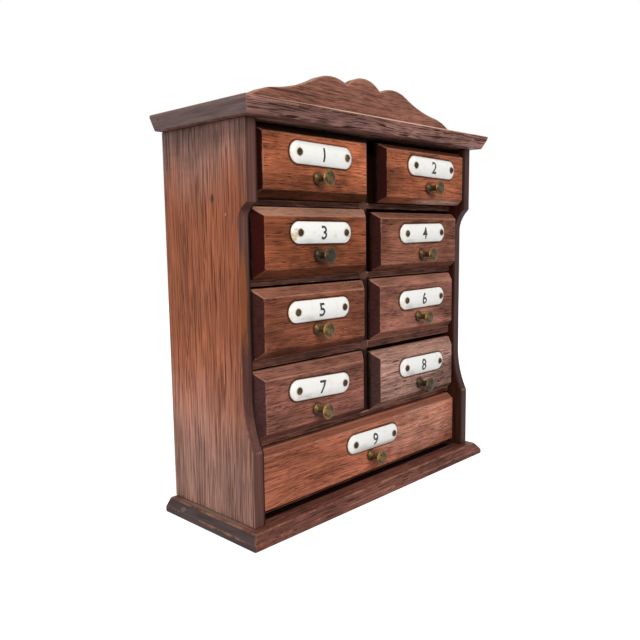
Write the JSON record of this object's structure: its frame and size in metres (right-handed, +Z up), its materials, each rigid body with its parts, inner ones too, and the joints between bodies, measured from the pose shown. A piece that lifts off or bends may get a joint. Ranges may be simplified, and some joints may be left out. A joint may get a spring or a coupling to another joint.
{
  "type": "spice drawer cabinet",
  "caption": "Small wooden table-top chest with shaped sides, an overhanging top and crest board, and rows of small bevelled drawers over one wide drawer, each with an oval label and a knob",
  "frame": {"origin": "Centre of the base board's underside, on the surface that the cabinet stands on", "axes": "+X to the right as seen from the front, +Y to the back, +Z up; the drawers pull out along -Y"},
  "size_m": [0.2682, 0.1028, 0.3101],
  "materials": {
    "case_wood": "old stained and waxed oak, satin",
    "front_wood": "old stained and waxed oak, satin, with worn edges",
    "box_wood": "bare planed softwood",
    "brass": "aged, dull",
    "screw_brass": "aged, dull",
    "enamel": "white glossy enamel"
  },
  "bodies": {
    "cabinet": {"base_board": "case_wood", "floor_board": "case_wood", "left_side_panel": "case_wood", "right_side_panel": "case_wood", "top_board": "case_wood", "crest_board": "case_wood", "back_panel": "case_wood", "centre_divider": "case_wood", "first_shelf_left": "case_wood", "first_shelf_right": "case_wood", "second_shelf_left": "case_wood", "second_shelf_right": "case_wood", "third_shelf_left": "case_wood", "third_shelf_right": "case_wood", "wide_shelf": "case_wood"},
    "drawer_1": {"drawer_1_front": "front_wood", "drawer_1_box": "box_wood", "drawer_1_knob": "brass", "drawer_1_label": "enamel", "drawer_1_label_screws": "screw_brass"},
    "drawer_2": {"drawer_2_front": "front_wood", "drawer_2_box": "box_wood", "drawer_2_knob": "brass", "drawer_2_label": "enamel", "drawer_2_label_screws": "screw_brass"},
    "drawer_3": {"drawer_3_front": "front_wood", "drawer_3_box": "box_wood", "drawer_3_knob": "brass", "drawer_3_label": "enamel", "drawer_3_label_screws": "screw_brass"},
    "drawer_4": {"drawer_4_front": "front_wood", "drawer_4_box": "box_wood", "drawer_4_knob": "brass", "drawer_4_label": "enamel", "drawer_4_label_screws": "screw_brass"},
    "drawer_5": {"drawer_5_front": "front_wood", "drawer_5_box": "box_wood", "drawer_5_knob": "brass", "drawer_5_label": "enamel", "drawer_5_label_screws": "screw_brass"},
    "drawer_6": {"drawer_6_front": "front_wood", "drawer_6_box": "box_wood", "drawer_6_knob": "brass", "drawer_6_label": "enamel", "drawer_6_label_screws": "screw_brass"},
    "drawer_7": {"drawer_7_front": "front_wood", "drawer_7_box": "box_wood", "drawer_7_knob": "brass", "drawer_7_label": "enamel", "drawer_7_label_screws": "screw_brass"},
    "drawer_8": {"drawer_8_front": "front_wood", "drawer_8_box": "box_wood", "drawer_8_knob": "brass", "drawer_8_label": "enamel", "drawer_8_label_screws": "screw_brass"},
    "drawer_9": {"drawer_9_front": "front_wood", "drawer_9_box": "box_wood", "drawer_9_knob": "brass", "drawer_9_label": "enamel", "drawer_9_label_screws": "screw_brass"}
  },
  "joints": [
    {"name": "drawer_1_slide", "type": "slide", "parent": "cabinet", "child": "drawer_1", "axis": [0, -1, 0], "range_m": [-0.0043, 0.0507]},
    {"name": "drawer_2_slide", "type": "slide", "parent": "cabinet", "child": "drawer_2", "axis": [0, -1, 0], "range_m": [-0.0082, 0.0468]},
    {"name": "drawer_3_slide", "type": "slide", "parent": "cabinet", "child": "drawer_3", "axis": [0, -1, 0], "range_m": [-0.0039, 0.0511]},
    {"name": "drawer_4_slide", "type": "slide", "parent": "cabinet", "child": "drawer_4", "axis": [0, -1, 0], "range_m": [-0.0022, 0.0528]},
    {"name": "drawer_5_slide", "type": "slide", "parent": "cabinet", "child": "drawer_5", "axis": [0, -1, 0], "range_m": [-0.0022, 0.0528]},
    {"name": "drawer_6_slide", "type": "slide", "parent": "cabinet", "child": "drawer_6", "axis": [0, -1, 0], "range_m": [-0.0002, 0.0548]},
    {"name": "drawer_7_slide", "type": "slide", "parent": "cabinet", "child": "drawer_7", "axis": [0, -1, 0], "range_m": [-0.0015, 0.0535]},
    {"name": "drawer_8_slide", "type": "slide", "parent": "cabinet", "child": "drawer_8", "axis": [0, -1, 0], "range_m": [-0.0006, 0.0544]},
    {"name": "drawer_9_slide", "type": "slide", "parent": "cabinet", "child": "drawer_9", "axis": [0, -1, 0], "range_m": [-0.0002, 0.0548]}
  ]
}
